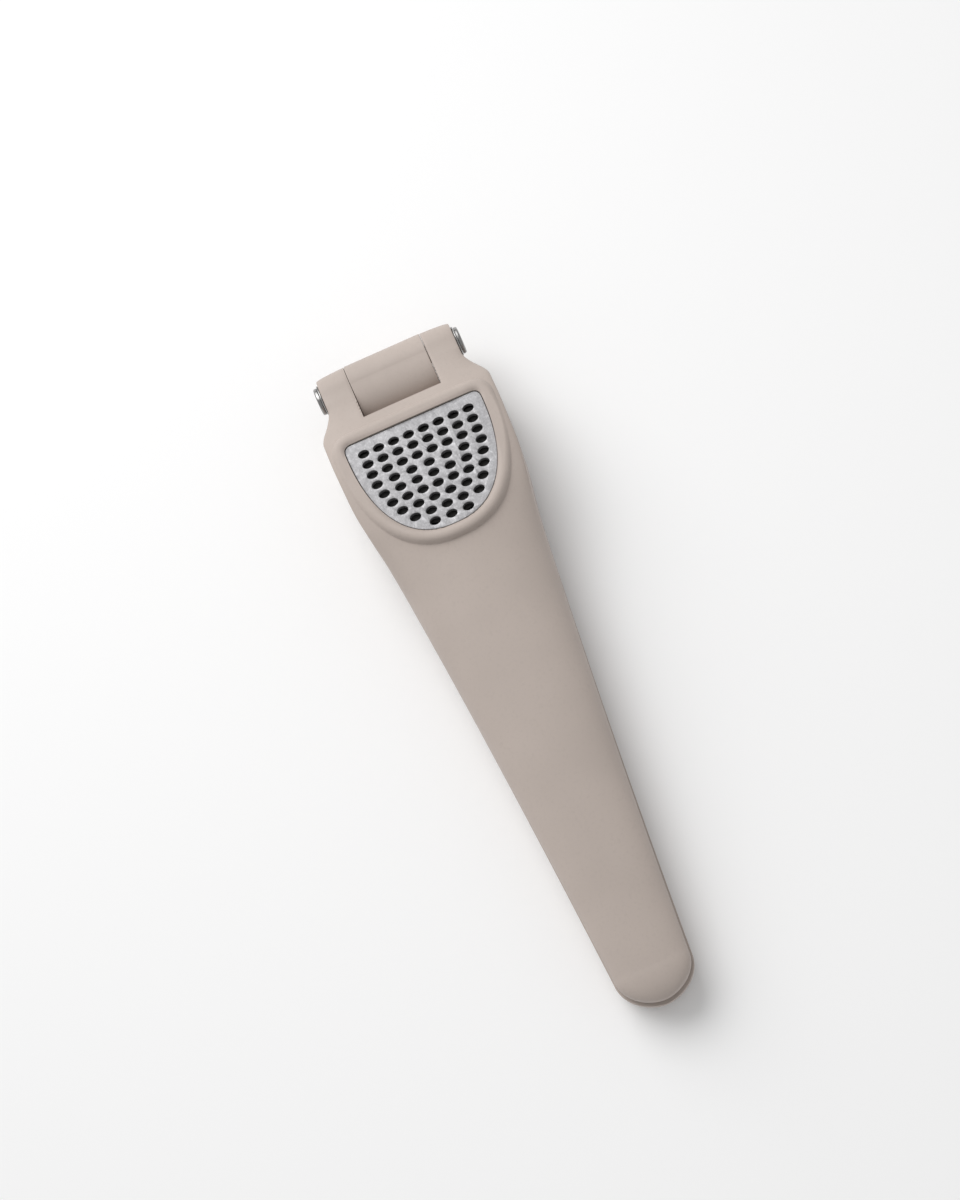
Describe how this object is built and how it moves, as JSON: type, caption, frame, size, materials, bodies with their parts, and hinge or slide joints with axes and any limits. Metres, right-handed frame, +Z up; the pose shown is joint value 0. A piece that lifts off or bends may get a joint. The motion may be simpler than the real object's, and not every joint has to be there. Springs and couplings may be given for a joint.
{
  "type": "garlic press",
  "caption": "Two-lever garlic press with a D-shaped perforated metal basket, a pivoting plunger and tapered soft-touch grips.",
  "frame": {"origin": "under the middle of the closed press's bounding box, on the flat back of the presser lever", "axes": "+X along the press from the hinge to the grips' tips, +Y across to the press's left, +Z up out of the perforated floor"},
  "size_m": [0.1818, 0.0464, 0.0268],
  "materials": {
    "soft_touch_taupe": "matt taupe soft-touch coat with a very fine orange peel",
    "cast_metal": "light grey, fine-blasted casting with a speckled grain",
    "polished_steel": "polished stainless steel",
    "dark_cast": "near-black hard-anodised casting with a fine matt grain",
    "acetal": "smooth natural white acetal"
  },
  "bodies": {
    "presser": {"presser_lever": "soft_touch_taupe", "presser_grip_cover": "soft_touch_taupe", "presser_cover_screw_front": "polished_steel", "presser_cover_screw_rear": "polished_steel", "plunger_pin": "polished_steel", "barrel_bush": "acetal"},
    "sieve": {"sieve_lever": "soft_touch_taupe", "sieve_basket": "cast_metal", "sieve_grip_cover": "soft_touch_taupe", "sieve_cover_screw_front": "polished_steel", "sieve_cover_screw_rear": "polished_steel", "hinge_sleeve": "polished_steel", "hinge_screw": "polished_steel", "hinge_washer_left": "polished_steel", "hinge_washer_right": "polished_steel"},
    "plunger_block": {"plunger": "dark_cast"}
  },
  "joints": [
    {"name": "lever_hinge", "type": "hinge", "parent": "presser", "child": "sieve", "pos_m": [-0.0851, 0, 0.0162], "axis": [0, -1, 0], "range_deg": [0, 170]},
    {"name": "plunger_tilt", "type": "hinge", "parent": "presser", "child": "plunger_block", "pos_m": [-0.0551, 0, 0.0181], "axis": [0, -1, 0], "range_deg": [0, 18]}
  ],
  "couplings": [
    {"joint": "plunger_tilt", "follows": "lever_hinge", "ratio": 0.1}
  ]
}
